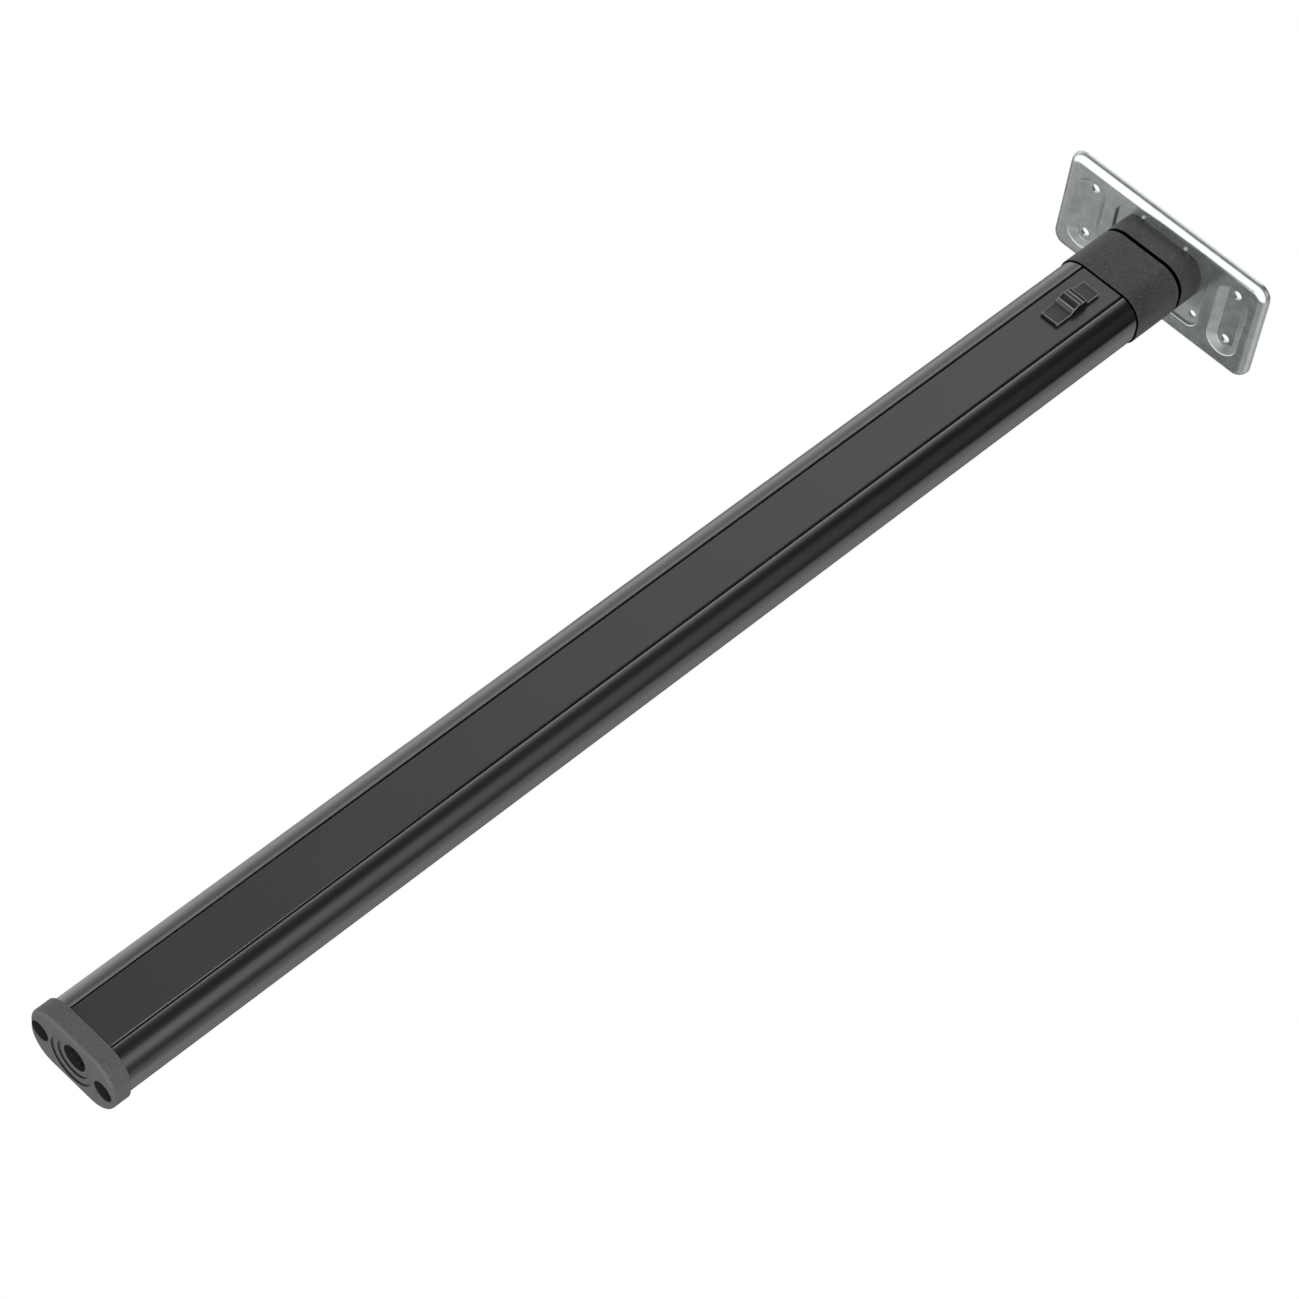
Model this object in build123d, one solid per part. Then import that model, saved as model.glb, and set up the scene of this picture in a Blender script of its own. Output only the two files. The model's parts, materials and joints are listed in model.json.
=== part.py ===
"""Folding table leg: mounting plate, latched hinge and flat-oval leg, in millimetres.

The origin is the centre of the mounting plate on its table face. +Z points up to the table, the leg
hangs down to the floor and its front, with the thumb slide, faces -Y. The leg swings up to +Y.
"""
from build123d import *
import os

# Overall sizes
total_height = 700.0
leg_rear_y = 8.0

# Mounting plate, pressed from sheet
plate_width = 127.0
plate_depth = 64.0
plate_height = 5.0
plate_sheet = 1.6
plate_corner = 8.0
plate_edge_radius = 4.4
screw_spacing_y = 31.3
screw_hole_radius = 2.5
slot_floor_radius = 5.1
slot_shift = 0.525
slot_land = 7.375
slot_end_flare = 1.9
slot_edge_radius = 1.1
recess_side_gap = 4.0
recess_front_inset = 1.2
recess_rear_y = 20.3
recess_fall = 1.6
recess_corner = 5.5
recess_flare = 0.5
recess_edge_radius = 0.7
inner_hole_spacing = 51.6
inner_hole_y = 13.7
inner_hole_radius = 2.25
nib_spacing = 27.0
nib_radius = 1.2
nib_gap = 0.3

# Leg tube, an extrusion with a channel along its front
tube_width = 49.5
tube_depth = 30.0
tube_corner = 12.5
tube_wall = 1.6
strip_width = 24.7
strip_thickness = 2.2
strip_seam = 0.75
lip_chamfer = 0.45
channel_wall = 1.4
port_inset = 4.95
port_radius = 1.9
port_wall = 1.7

# Hinge head and collar, with the shadow gap between them
head_bottom = -18.0
head_proud = 0.7
head_wall = 2.2
head_floor = 2.5
head_lip = 0.9
head_relief = 2.5
head_edge_radius = 0.25
shadow_gap = 2.3
collar_length = 29.9
collar_proud = 0.75
collar_edge_radius = 0.2
collar_skirt = 6.0
collar_spigot = 7.5
skirt_clearance = 0.1
skirt_relief = 0.35
skirt_relief_height = 1.0

# Pivot
swing_clearance = 1.0
pin_radius = 3.0
pin_inset = 2.25
pin_chamfer = 0.5
bush_wall = 1.2
bush_proud = 0.3
running_clearance = 0.05
ear_radius = 6.2
ear_thickness = 2.5
ear_spacing = 27.0
ear_clearance = 0.4
fold_radius = 1.5
bracket_setback = 10.0
rivet_radius = 2.0
rivet_spacing_x = 13.0
rivet_edge = 3.1
rivet_head_radius = 3.2
rivet_head_height = 1.5
rivet_chamfer = 0.8

# Screws
screw_radius = 1.85
screw_head_radius = 3.4
screw_head_height = 2.6
screw_head_chamfer = 0.7
screw_bite = 16.0
head_screw_inset = 5.75
head_screw_length = 12.0
head_screw_boss = 4.0
countersink_radius = 3.3
seat_clearance = 0.05

# Latch
latch_travel = 5.5
bolt_setback = 9.0
bolt_radius = 4.0
bolt_shy = 0.3
bolt_chamfer = 0.8
keeper_radius = 6.5
keeper_length = 5.5
keeper_clearance = 0.3
keeper_boss = 7.4

# Thumb slide and its carrier
slider_top = -59.3
slider_length = 30.8
slider_width = 10.8
slider_top_width = 10.6
slider_float = 0.3
pad_height = 2.1
rib_top_height = 5.7
rib_drop_from_top = 11.9
rib_length = 4.0
rib_dish = 0.5
rib_fall = 1.6
step_height = 3.3
step_gap = 2.8
step_ramp = 2.2
notch_height = 2.4
notch_length = 1.0
slider_corner = 0.8
slider_edge_radius = 0.35
stem_width = 7.0
stem_length = 12.5
stem_depth = 6.6
stem_shift = 2.55
stem_clearance = 0.4
carrier_width = 16.0
carrier_top = -60.5
carrier_length = 25.5
carrier_slack = 0.3
carrier_corner = 1.2
bolt_grip = 8.5
roll_pin_radius = 1.25
spring_length = 20.0
spring_width = 8.0
spring_thickness = 0.5
spring_bow = 3.4
spring_seat = 1.0

# Foot cap
cap_height = 10.2
cap_proud = 1.5
cap_end_radius = 2.0
cap_rim_radius = 0.6
plug_width = 25.0
plug_length = 15.0
plug_clearance = 0.2
pocket_radius = 5.4
pocket_floor = 2.0
outer_ring_radius = 12.8
outer_ring_depth = 1.0
inner_ring_radius = 9.7
inner_ring_depth = 2.0
socket_radius = 6.8
socket_depth = 24.0
rib_count = 8
rib_width = 1.6
rib_height = 1.2
rib_start = 4.0

# Levels and places worked out from the sizes above
floor_z = -total_height
tube_bottom = floor_z + cap_height
collar_top = head_bottom - shadow_gap
collar_bottom = collar_top - collar_length
tube_top = collar_bottom + collar_skirt
rear_y = leg_rear_y
front_y = rear_y - tube_depth
leg_axis_y = (front_y + rear_y) / 2
channel_half = strip_width / 2 + strip_seam
channel_floor_y = front_y + strip_thickness
hollow_front_y = channel_floor_y + channel_wall
hollow_rear_y = rear_y - tube_wall
port_spacing = tube_width - 2 * port_inset
head_width = tube_width + 2 * head_proud
head_front_y = front_y - head_proud
seat_z = recess_fall - plate_height
seat_top = seat_z + plate_sheet
recess_front_y = head_front_y + recess_front_inset
recess_half = head_width / 2 + recess_side_gap
slot_room = plate_width / 2 - recess_half - recess_flare
slot_flare = slot_room / 2 - slot_land - slot_floor_radius
screw_spacing_x = plate_width - slot_room - 2 * slot_shift
barrel_radius = rear_y + collar_proud
pivot_z = head_bottom - swing_clearance - barrel_radius
bush_radius = pin_radius + running_clearance + bush_wall
ear_outer = ear_spacing / 2
ear_inner = ear_outer - ear_thickness
bracket_front = front_y + bracket_setback
pin_length = tube_width - 2 * pin_inset
head_screw_spacing = tube_width - 2 * head_screw_inset
bolt_y = front_y + bolt_setback
bolt_top = collar_top - bolt_shy
bolt_bottom = carrier_top - bolt_grip
slider_bottom = slider_top - slider_length
rib_high = slider_top - rib_drop_from_top
rib_low = rib_high - rib_length
step_crest = rib_low - step_gap
carrier_bottom = carrier_top - carrier_length
carrier_front_y = hollow_front_y + carrier_slack
carrier_rear_y = hollow_rear_y - spring_bow + spring_seat - running_clearance
stem_inner_y = carrier_front_y + stem_depth
stem_middle = rib_low - stem_shift
stem_top = stem_middle + stem_length / 2
stem_bottom = stem_middle - stem_length / 2
pocket_depth = cap_height - pocket_floor
past = 1.0


def block(x0, x1, y0, y1, z0, z1):
    """Box between two opposite corners."""
    centre = Pos((x0 + x1) / 2, (y0 + y1) / 2, (z0 + z1) / 2)
    return centre * Box(x1 - x0, y1 - y0, z1 - z0)


def rod(x, y, z0, z1, radius):
    """Upright cylinder between two levels."""
    return Pos(x, y, (z0 + z1) / 2) * Cylinder(radius, z1 - z0)


def cone(x, y, z0, z1, radius0, radius1):
    """Upright cone whose lower and upper radii are given."""
    return Pos(x, y, (z0 + z1) / 2) * Cone(radius0, radius1, z1 - z0)


def cross_rod(x0, x1, y, z, radius):
    """Cylinder along X."""
    return Pos((x0 + x1) / 2, y, z) * Rot(0, 90, 0) * Cylinder(radius, x1 - x0)


def leg_outline(proud=0.0):
    """Flat-oval outline of the leg, grown by a distance, about the leg's axis."""
    width = tube_width + 2 * proud
    depth = tube_depth + 2 * proud
    return Pos(0, leg_axis_y) * RectangleRounded(width, depth, tube_corner + proud)


def prism(outline, z0, z1):
    """Outline extruded between two levels."""
    return Pos(0, 0, z0) * extrude(outline, z1 - z0)


def both_sides(make, spacing):
    """Two copies of a piece, at plus and minus half a spacing along X."""
    return [make(-spacing / 2), make(spacing / 2)]


def cut_all(body, tools):
    """Body with each tool taken away."""
    for tool in tools:
        body = body - tool
    return body


def slot_outline(share, grow=0.0):
    """Outline of a screw slot, from its floor at share 0 to the plate's face at share 1."""
    radius = slot_floor_radius + share * slot_flare + grow
    half_length = screw_spacing_y / 2 + slot_floor_radius + share * slot_end_flare + grow
    return Rot(0, 0, 90) * SlotOverall(2 * half_length, 2 * radius)


def recess_outline(share, grow=0.0):
    """Outline of the middle recess, from its floor at share 0 to the plate's face at share 1."""
    spread = share * recess_flare + grow
    width = 2 * (recess_half + spread)
    depth = recess_rear_y - recess_front_y + 2 * spread
    outline = RectangleRounded(width, depth, recess_corner + spread)
    return Pos(0, (recess_front_y + recess_rear_y) / 2) * outline


def pressed_recess(outline, x, fall, grow, z_floor):
    """Tapered solid of a pressed recess from its floor level down to the plate's face and past it."""
    beyond = 1 + past / fall
    top = Pos(x, 0, z_floor) * outline(0.0, grow)
    low = Pos(x, 0, z_floor - fall - past) * outline(beyond, grow)
    return loft([top, low])


def make_mounting_plate():
    """Pressed tray whose rim and recess floors meet the table."""
    tray = prism(RectangleRounded(plate_width, plate_depth, plate_corner), -plate_height, 0)
    tray = fillet(tray.edges().group_by(Axis.Z)[0], plate_edge_radius)
    inner_width = plate_width - 2 * plate_sheet
    inner_depth = plate_depth - 2 * plate_sheet
    inner_face = plate_sheet - plate_height
    hollow = RectangleRounded(inner_width, inner_depth, plate_corner - plate_sheet)
    hollow = prism(hollow, inner_face, 0)
    hollow = fillet(hollow.edges().group_by(Axis.Z)[0], plate_edge_radius - plate_sheet)
    slot_fall = plate_height - plate_sheet
    recesses = both_sides(lambda x: (slot_outline, x, slot_fall), screw_spacing_x)
    recesses.append((recess_outline, 0, recess_fall))
    for outline, x, fall in recesses:
        hollow = hollow - pressed_recess(outline, x, fall, plate_sheet / 2, fall + inner_face)
    plate = tray - hollow
    for outline, x, fall in recesses:
        plate = plate - pressed_recess(outline, x, fall, 0, fall - plate_height)
    plate = round_recess_edges(plate)
    for x in (-nib_spacing / 2, nib_spacing / 2):
        nib_y = head_front_y - nib_gap - nib_radius
        nib_z = running_clearance - plate_height
        plate = plate + Pos(x, nib_y, nib_z) * Sphere(nib_radius)
    for x in (-screw_spacing_x / 2, screw_spacing_x / 2):
        for y in (-screw_spacing_y / 2, screw_spacing_y / 2):
            plate = plate - rod(x, y, -plate_height, past, screw_hole_radius)
    for x in (-inner_hole_spacing / 2, inner_hole_spacing / 2):
        plate = plate - rod(x, inner_hole_y, -plate_height, past, inner_hole_radius)
    for x, y in rivet_places():
        plate = plate - rod(x, y, -plate_height, past, rivet_radius + seat_clearance)
    sinks = both_sides(lambda x: head_screw_sink(x, seat_clearance), head_screw_spacing)
    return cut_all(plate, sinks)


def round_recess_edges(plate):
    """Plate with soft edges where the recesses leave its face."""
    slots = both_sides(lambda x: (x, slot_edge_radius), screw_spacing_x)
    for x, radius in slots + [(0, recess_edge_radius)]:
        face = plate.faces().filter_by(Axis.Z).sort_by(Axis.Z)[0]
        rims = sorted(face.inner_wires(), key=lambda wire: abs(wire.bounding_box().center().X - x))
        plate = fillet(rims[0].edges(), radius)
    return plate


def rivet_places():
    """Centres of the four rivets."""
    columns = (-rivet_spacing_x / 2, rivet_spacing_x / 2)
    rows = (bracket_front + rivet_edge, ear_radius - rivet_edge)
    return [(x, y) for x in columns for y in rows]


def head_screw_sink(x, clearance):
    """Countersunk hole for a screw from the table side into the head."""
    top = countersink_radius + clearance
    low = screw_radius + clearance
    return cone(x, leg_axis_y, seat_z, seat_top, low, top)


def folded_outline(half, z0, z1, radius):
    """Upright rectangle with its two upper corners rounded, as a folded sheet has them."""
    outline = Pos(0, (z0 + z1) / 2) * Rectangle(2 * half, z1 - z0)
    return fillet(outline.vertices().group_by(Axis.Y)[-1], radius)


def make_hinge_bracket():
    """Folded steel U: a base on the plate and two ears that carry the pivot."""
    base_low = seat_z - ear_thickness
    outside = folded_outline(ear_outer, pivot_z, seat_z, fold_radius + ear_thickness)
    inside = folded_outline(ear_inner, pivot_z - past, base_low, fold_radius)
    bracket = extrude(Plane.XZ * (outside - inside), ear_radius, both=True)
    tab_half = ear_inner - fold_radius
    bracket = bracket + block(-tab_half, tab_half, bracket_front, 0, base_low, seat_z)
    for side in (-1, 1):
        x0, x1 = sorted((side * ear_inner, side * ear_outer))
        bracket = bracket + cross_rod(x0, x1, 0, pivot_z, ear_radius)
    hole = bush_radius + seat_clearance
    bracket = bracket - cross_rod(-ear_outer - past, ear_outer + past, 0, pivot_z, hole)
    for x, y in rivet_places():
        bracket = bracket - rod(x, y, base_low - past, past, rivet_radius + seat_clearance)
    return bracket


def make_bracket_rivets():
    """Four rivets, flush with the recess floor and headed under the bracket."""
    under = seat_z - ear_thickness
    rivets = []
    for x, y in rivet_places():
        shank = rod(x, y, under, seat_top, rivet_radius)
        head = rod(x, y, under - rivet_head_height, under, rivet_head_radius)
        head = chamfer(head.edges().group_by(Axis.Z)[0], rivet_chamfer)
        rivets.append(shank + head)
    return Compound(children=rivets)


def make_pivot_bushes():
    """Plain bushes in the two ears, standing a little proud as thrust faces."""
    bushes = []
    for side in (-1, 1):
        x0, x1 = sorted((side * (ear_inner - bush_proud), side * (ear_outer + bush_proud)))
        sleeve = cross_rod(x0, x1, 0, pivot_z, bush_radius)
        bore = cross_rod(x0 - past, x1 + past, 0, pivot_z, pin_radius + running_clearance)
        bushes.append(sleeve - bore)
    return Compound(children=bushes)


def make_hinge_head():
    """Moulded cover over the bracket, seated in the middle recess and on the plate's face."""
    head = prism(leg_outline(head_proud), head_bottom, -plate_height)
    head = fillet(head.edges().group_by(Axis.Z)[0], head_edge_radius)
    seat = recess_outline(0.0, -skirt_clearance)
    head = head + prism(leg_outline(head_proud) & seat, -plate_height, seat_z)
    relief_top = head_bottom + head_relief
    relief = prism(leg_outline(head_proud - head_lip), head_bottom - past, relief_top)
    head = head - (relief - rod(0, bolt_y, head_bottom, relief_top, keeper_boss))
    cavity_floor = relief_top + head_floor
    cavity = prism(leg_outline(head_proud - head_wall), cavity_floor, 0)
    cavity = cavity - rod(0, bolt_y, cavity_floor, keeper_top() + head_wall, keeper_boss)
    for x in (-head_screw_spacing / 2, head_screw_spacing / 2):
        cavity = cavity - rod(x, leg_axis_y, cavity_floor, seat_z, head_screw_boss)
    head = head - cavity
    for side in (-1, 1):
        x0, x1 = sorted((side * (ear_inner - seat_clearance), side * (ear_outer + seat_clearance)))
        reach = ear_radius + seat_clearance
        head = head - block(x0, x1, -reach, reach, head_bottom - past, cavity_floor + past)
    head = head - rod(0, bolt_y, head_bottom - past, keeper_top(), keeper_radius + seat_clearance)
    screw_end = -head_screw_length
    for x in (-head_screw_spacing / 2, head_screw_spacing / 2):
        head = head - rod(x, leg_axis_y, screw_end - past, past, screw_radius + seat_clearance)
    return head


def keeper_top():
    """Level of the keeper's upper end inside the head."""
    return head_bottom + keeper_length


def make_keeper_bush():
    """Steel bush that the latch bolt enters."""
    bush = rod(0, bolt_y, head_bottom, keeper_top(), keeper_radius)
    mouth = bolt_radius + keeper_clearance
    bush = bush - rod(0, bolt_y, head_bottom - past, keeper_top() + past, mouth)
    rim = bush.edges().filter_by(GeomType.CIRCLE).group_by(Axis.Z)[0].sort_by(SortBy.RADIUS)[0]
    return chamfer(rim, bolt_chamfer)


def make_head_screws():
    """Two countersunk screws from the table side into the head's bosses."""
    screws = []
    for x in (-head_screw_spacing / 2, head_screw_spacing / 2):
        shank = rod(x, leg_axis_y, -head_screw_length, seat_z, screw_radius)
        screws.append(shank + head_screw_sink(x, 0.0))
    return Compound(children=screws)


def make_leg_tube():
    """Extrusion with a front channel for the strip and a screw port in each rounded side."""
    outer = leg_outline()
    hollow = leg_outline(-tube_wall)
    guard_half = channel_half + channel_wall
    guard_depth = hollow_front_y - front_y + past
    guard_y = hollow_front_y - guard_depth / 2
    hollow = hollow - Pos(0, guard_y) * Rectangle(2 * guard_half, guard_depth)
    for x in (-port_spacing / 2, port_spacing / 2):
        hollow = hollow - Pos(x, leg_axis_y) * Circle(port_radius + port_wall)
    channel_depth = strip_thickness + past
    channel_y = channel_floor_y - channel_depth / 2
    profile = outer - hollow - Pos(0, channel_y) * Rectangle(2 * channel_half, channel_depth)
    lips = profile.vertices().group_by(Axis.Y)[0].filter_by(lambda v: abs(v.X) < channel_half + lip_chamfer)
    profile = chamfer(lips, lip_chamfer)
    for x in (-port_spacing / 2, port_spacing / 2):
        profile = profile - Pos(x, leg_axis_y) * Circle(port_radius)
    tube = prism(profile, tube_bottom, tube_top)
    return tube - stem_slot()


def stem_slot():
    """Slot that the slider's stem passes through, long enough for its travel."""
    half = stem_width / 2 + stem_clearance
    low = stem_bottom - stem_clearance
    high = stem_top + latch_travel + stem_clearance
    return block(-half, half, front_y - past, hollow_front_y + past, low, high)


def make_cover_strip():
    """Flat strip that fills the channel, flush with the front of the tube."""
    band_y = (front_y + channel_floor_y) / 2
    band = Pos(0, band_y) * Rectangle(strip_width, strip_thickness)
    band = chamfer(band.vertices().group_by(Axis.Y)[0], lip_chamfer)
    return prism(band, tube_bottom, tube_top) - stem_slot()


def make_top_collar():
    """Moulded top of the leg, with hinge knuckles, a skirt over the tube and a spigot in it."""
    collar = prism(leg_outline(collar_proud), collar_bottom, collar_top)
    ends = collar.edges().group_by(Axis.Z)
    collar = fillet(ends[0] + ends[-1], collar_edge_radius)
    collar = collar - prism(leg_outline(skirt_clearance), collar_bottom - past, tube_top)
    relief = leg_outline(skirt_clearance + skirt_relief)
    collar = collar - prism(relief, collar_bottom - past, collar_bottom + skirt_relief_height)
    collar = collar + make_spigot()
    behind = rear_y + 2 * collar_proud
    reach = tube_width
    corner = block(-reach, reach, 0, behind, pivot_z, collar_top + past)
    collar = collar - (corner - cross_rod(-reach, reach, 0, pivot_z, barrel_radius))
    slot_reach = ear_radius + ear_clearance
    for side in (-1, 1):
        x0, x1 = sorted((side * (ear_inner - ear_clearance), side * (ear_outer + ear_clearance)))
        swept = cross_rod(x0, x1, 0, pivot_z, slot_reach)
        swept = swept + block(x0, x1, -slot_reach, behind, pivot_z, collar_top + past)
        swept = swept + block(x0, x1, 0, behind, pivot_z - slot_reach, collar_top + past)
        collar = collar - swept
    collar = collar - cross_rod(-tube_width, pin_length / 2, 0, pivot_z, pin_radius + seat_clearance / 2)
    bolt_bore = bolt_radius + running_clearance
    collar = collar - rod(0, bolt_y, collar_bottom - 2 * collar_spigot, collar_top + past, bolt_bore)
    for x in (-port_spacing / 2, port_spacing / 2):
        sink = collar_top - screw_head_height
        collar = collar - rod(x, leg_axis_y, sink, collar_top + past, screw_head_radius + seat_clearance)
        collar = collar - rod(x, leg_axis_y, tube_top - past, collar_top, screw_radius + seat_clearance)
    return collar


def make_spigot():
    """Block under the collar that locates it inside the tube."""
    half = plug_width / 2
    y0 = hollow_front_y + plug_clearance
    y1 = hollow_rear_y - plug_clearance
    return block(-half, half, y0, y1, tube_top - collar_spigot, tube_top)


def make_hinge_pin():
    """Pivot pin with chamfered ends."""
    pin = cross_rod(-pin_length / 2, pin_length / 2, 0, pivot_z, pin_radius)
    return chamfer(pin.edges().filter_by(GeomType.CIRCLE), pin_chamfer)


def pan_head(x, seat, way):
    """Screw head on an upright axis, standing from its seat the given way, 1 up or -1 down."""
    z0, z1 = sorted((seat, seat + way * (screw_head_height - running_clearance)))
    pan = rod(x, leg_axis_y, z0, z1, screw_head_radius)
    ends = pan.edges().filter_by(GeomType.CIRCLE).sort_by(Axis.Z)
    return chamfer(ends[-1 if way > 0 else 0], screw_head_chamfer)


def make_collar_screws():
    """Two screws down through the collar into the tube's screw ports."""
    seat = collar_top - screw_head_height
    screws = []
    for x in (-port_spacing / 2, port_spacing / 2):
        shank = rod(x, leg_axis_y, tube_top - screw_bite, seat, screw_radius)
        screws.append(shank + pan_head(x, seat, 1))
    return Compound(children=screws)


def make_foot_screws():
    """Two screws up through the foot cap's pockets into the tube's screw ports."""
    seat = floor_z + pocket_depth
    screws = []
    for x in (-port_spacing / 2, port_spacing / 2):
        shank = rod(x, leg_axis_y, seat, tube_bottom + screw_bite, screw_radius)
        screws.append(shank + pan_head(x, seat, -1))
    return Compound(children=screws)


def make_latch_bolt():
    """Round bolt from the carrier to just under the top of the collar."""
    bolt = rod(0, bolt_y, bolt_bottom, bolt_top, bolt_radius)
    bolt = chamfer(bolt.edges().group_by(Axis.Z)[-1], bolt_chamfer)
    return bolt - upper_pin(seat_clearance / 2)


def upper_pin(clearance):
    """Roll pin that holds the bolt in the carrier, or its hole."""
    half = carrier_width / 2
    return cross_rod(-half, half, bolt_y, carrier_top - bolt_grip / 2, roll_pin_radius + clearance)


def lower_pin(clearance):
    """Roll pin that holds the slider's stem in the carrier, or its hole."""
    half = carrier_width / 2
    pin_y = (carrier_front_y + stem_inner_y) / 2
    return cross_rod(-half, half, pin_y, stem_middle, roll_pin_radius + clearance)


def make_carrier_pins():
    """Two roll pins across the carrier."""
    return Compound(children=[upper_pin(0.0), lower_pin(0.0)])


def make_slide_carrier():
    """Nylon block inside the tube, with sockets for the bolt and the stem and a spring seat."""
    half = carrier_width / 2
    carrier = block(-half, half, carrier_front_y, carrier_rear_y, carrier_bottom, carrier_top)
    carrier = fillet(carrier.edges().filter_by(Axis.Z), carrier_corner)
    carrier = carrier - rod(0, bolt_y, bolt_bottom, carrier_top + past, bolt_radius + seat_clearance)
    socket_half = stem_width / 2 + seat_clearance
    socket_low = stem_bottom - seat_clearance
    socket_high = stem_top + seat_clearance
    socket_end = stem_inner_y + seat_clearance
    carrier = carrier - block(
        -socket_half, socket_half, carrier_front_y - past, socket_end, socket_low, socket_high
    )
    seat_half = spring_width / 2 + seat_clearance
    seat_reach = spring_length / 2 + carrier_slack
    seat_y = carrier_rear_y - spring_seat
    middle = (carrier_top + carrier_bottom) / 2
    carrier = carrier - block(
        -seat_half, seat_half, seat_y, carrier_rear_y + past, middle - seat_reach, middle + seat_reach
    )
    return cut_all(carrier, [upper_pin(seat_clearance / 2), lower_pin(seat_clearance / 2)])


def make_friction_spring():
    """Bowed leaf spring between the carrier and the tube's rear wall."""
    seat_y = carrier_rear_y - spring_seat
    crown_y = seat_y + spring_bow
    middle = (carrier_top + carrier_bottom) / 2
    half = spring_length / 2
    outside = ThreePointArc((seat_y, middle - half), (crown_y, middle), (seat_y, middle + half))
    inner_half = half - 2 * spring_thickness
    inner_crown = crown_y - spring_thickness
    upper = (seat_y, middle + inner_half)
    lower = (seat_y, middle - inner_half)
    inside = ThreePointArc(upper, (inner_crown, middle), lower)
    heel_a = Line((seat_y, middle + half), upper)
    heel_b = Line(lower, (seat_y, middle - half))
    band = make_face(Curve() + [outside, heel_a, inside, heel_b])
    return extrude(Plane.YZ * band, spring_width / 2, both=True)


def make_release_slider():
    """Thumb piece with two pads, a low step and a tall rib between them, and a stem through the slot."""
    base_y = front_y - slider_float

    def at(height, z):
        return (front_y - height, z)

    profile = Polyline(
        (base_y, slider_bottom),
        at(pad_height, slider_bottom),
        at(pad_height, step_crest - step_ramp),
        at(step_height, step_crest),
        at(notch_height, step_crest + notch_length),
        at(rib_top_height, rib_low),
        at(rib_top_height - rib_dish, (rib_low + rib_high) / 2),
        at(rib_top_height, rib_high),
        at(pad_height, rib_high + rib_fall),
        at(pad_height, slider_top),
        (base_y, slider_top),
        close=True,
    )
    profile = make_face(profile)
    rounded = profile.vertices().filter_by(lambda corner: corner.X < base_y - slider_edge_radius)
    body = extrude(Plane.YZ * fillet(rounded, slider_edge_radius), slider_width, both=True)
    plan = Polyline(
        (-slider_width / 2, slider_bottom),
        (slider_width / 2, slider_bottom),
        (slider_top_width / 2, slider_top),
        (-slider_top_width / 2, slider_top),
        close=True,
    )
    plan = fillet(make_face(plan).vertices(), slider_corner)
    body = body & extrude(Plane.XZ * plan, 2 * tube_depth)
    half = stem_width / 2
    stem = block(-half, half, base_y - running_clearance, stem_inner_y, stem_bottom, stem_top)
    return body + stem - lower_pin(seat_clearance / 2)


def make_foot_cap():
    """Moulded foot with two screw pockets and a stepped, ribbed socket."""
    cap = prism(leg_outline(cap_proud), floor_z, tube_bottom)
    cap = fillet(cap.edges().group_by(Axis.Z)[0], cap_end_radius)
    cap = fillet(cap.edges().group_by(Axis.Z)[-1], cap_rim_radius)
    half = plug_width / 2
    y0 = hollow_front_y + plug_clearance
    y1 = hollow_rear_y - plug_clearance
    cap = cap + block(-half, half, y0, y1, tube_bottom, tube_bottom + plug_length)
    for x in (-port_spacing / 2, port_spacing / 2):
        pocket_end = floor_z + pocket_depth
        cap = cap - rod(x, leg_axis_y, floor_z - past, pocket_end, pocket_radius)
        cap = cap - rod(x, leg_axis_y, floor_z, tube_bottom + past, screw_radius + seat_clearance)
    first_step = floor_z + outer_ring_depth
    second_step = floor_z + inner_ring_depth
    socket_end = floor_z + socket_depth
    cap = cap - rod(0, leg_axis_y, floor_z - past, first_step, outer_ring_radius)
    cap = cap - rod(0, leg_axis_y, floor_z - past, second_step, inner_ring_radius)
    socket = rod(0, leg_axis_y, floor_z - past, socket_end, socket_radius)
    inner = socket_radius - rib_height
    outer = socket_radius + past
    half_rib = rib_width / 2
    rib = block(inner, outer, -half_rib, half_rib, floor_z + rib_start, socket_end)
    for i in range(rib_count):
        socket = socket - Pos(0, leg_axis_y, 0) * Rot(0, 0, 360 / rib_count * i) * rib
    return cap - socket


nodes = {
    "mounting_plate": make_mounting_plate,
    "hinge_bracket": make_hinge_bracket,
    "bracket_rivets": make_bracket_rivets,
    "pivot_bushes": make_pivot_bushes,
    "hinge_head": make_hinge_head,
    "keeper_bush": make_keeper_bush,
    "head_screws": make_head_screws,
    "leg_tube": make_leg_tube,
    "cover_strip": make_cover_strip,
    "top_collar": make_top_collar,
    "hinge_pin": make_hinge_pin,
    "collar_screws": make_collar_screws,
    "foot_cap": make_foot_cap,
    "foot_screws": make_foot_screws,
    "release_slider": make_release_slider,
    "slide_carrier": make_slide_carrier,
    "carrier_pins": make_carrier_pins,
    "latch_bolt": make_latch_bolt,
    "friction_spring": make_friction_spring,
}

os.makedirs("parts", exist_ok=True)
for node, make in nodes.items():
    export_step(make(), f"parts/{node}.step")
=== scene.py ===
"""Dresses, lights and frames a folding table leg: pressed plate, latched hinge, flat-oval leg."""
from __future__ import annotations

import json
import logging
import math
from collections.abc import Callable
from dataclasses import dataclass
from enum import Enum

import bmesh
import bpy
from mathutils import Matrix, Vector

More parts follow.
